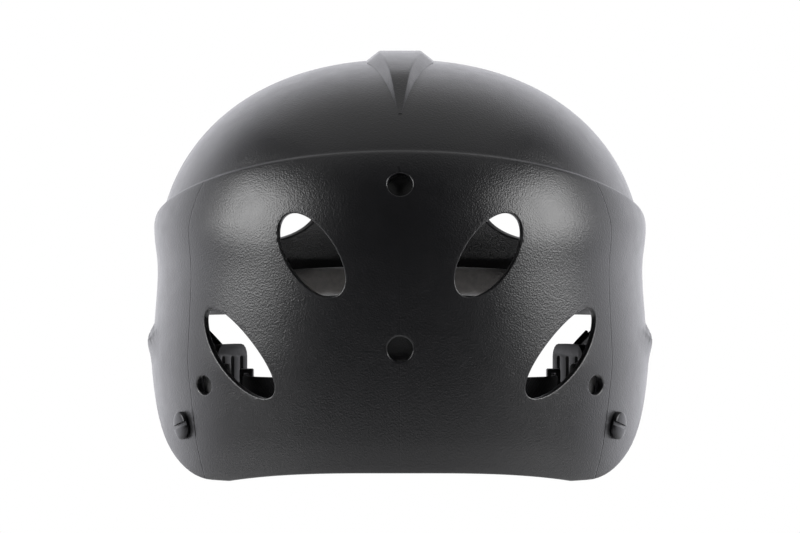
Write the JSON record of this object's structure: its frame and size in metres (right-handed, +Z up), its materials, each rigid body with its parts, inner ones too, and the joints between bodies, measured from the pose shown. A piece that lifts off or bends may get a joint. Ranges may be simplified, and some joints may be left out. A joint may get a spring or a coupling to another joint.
{
  "type": "water helmet",
  "caption": "Half-cut water sports helmet: vented moulded shell with proud skirt and crown ridge, foam pads and a webbing chin harness with side-release buckle, stowed inside.",
  "frame": {"origin": "middle of the head opening at the height of the lowest stretch of the rim, where a head enters", "axes": "+Z up towards the crown; the wearer faces -Y, so +Y is the nape and the longest way; the wearer's left is +X"},
  "size_m": [0.2326, 0.2798, 0.195],
  "materials": {
    "shell_abs": "pebbled matte black",
    "pad_foam": "taupe brushed foam",
    "webbing": "woven black webbing",
    "harness_plastic": "satin black acetal",
    "screw_steel": "black oxide"
  },
  "bodies": {
    "helmet": {"brow_pad": "pad_foam", "crown_pad": "pad_foam", "front_post_left": "screw_steel", "front_post_right": "screw_steel", "front_screw_left": "screw_steel", "front_screw_right": "screw_steel", "front_strap_left": "webbing", "front_strap_right": "webbing", "front_tab_left": "harness_plastic", "front_tab_right": "harness_plastic", "nape_pad": "pad_foam", "rear_post_left": "screw_steel", "rear_post_right": "screw_steel", "rear_screw_left": "screw_steel", "rear_screw_right": "screw_steel", "rear_strap_left": "webbing", "rear_strap_right": "webbing", "rear_tab_left": "harness_plastic", "rear_tab_right": "harness_plastic", "shell": "shell_abs", "side_pad_left": "pad_foam", "side_pad_right": "pad_foam", "spot_pad_left": "pad_foam", "spot_pad_right": "pad_foam", "strap_divider_left": "harness_plastic", "strap_divider_right": "harness_plastic"},
    "chin_loop": {"chin_strap_left": "webbing", "chin_strap_right": "webbing", "buckle_female": "harness_plastic"},
    "buckle_slider": {"buckle_male": "harness_plastic"},
    "keeper_left": {"strap_keeper_left": "harness_plastic"},
    "keeper_right": {"strap_keeper_right": "harness_plastic"}
  },
  "joints": [
    {"name": "chin_strap_swing", "type": "hinge", "parent": "helmet", "child": "chin_loop", "pos_m": [0, 0.006, 0.036], "axis": [-1, 0, 0], "range_deg": [0, 115]},
    {"name": "buckle_release", "type": "slide", "parent": "chin_loop", "child": "buckle_slider", "axis": [-1, 0, 0], "range_m": [0, 0.02]},
    {"name": "keeper_left_slide", "type": "slide", "parent": "chin_loop", "child": "keeper_left", "axis": [0, 1, 0], "range_m": [-0.012, 0.012]},
    {"name": "keeper_right_slide", "type": "slide", "parent": "chin_loop", "child": "keeper_right", "axis": [0, 1, 0], "range_m": [-0.012, 0.012]}
  ]
}
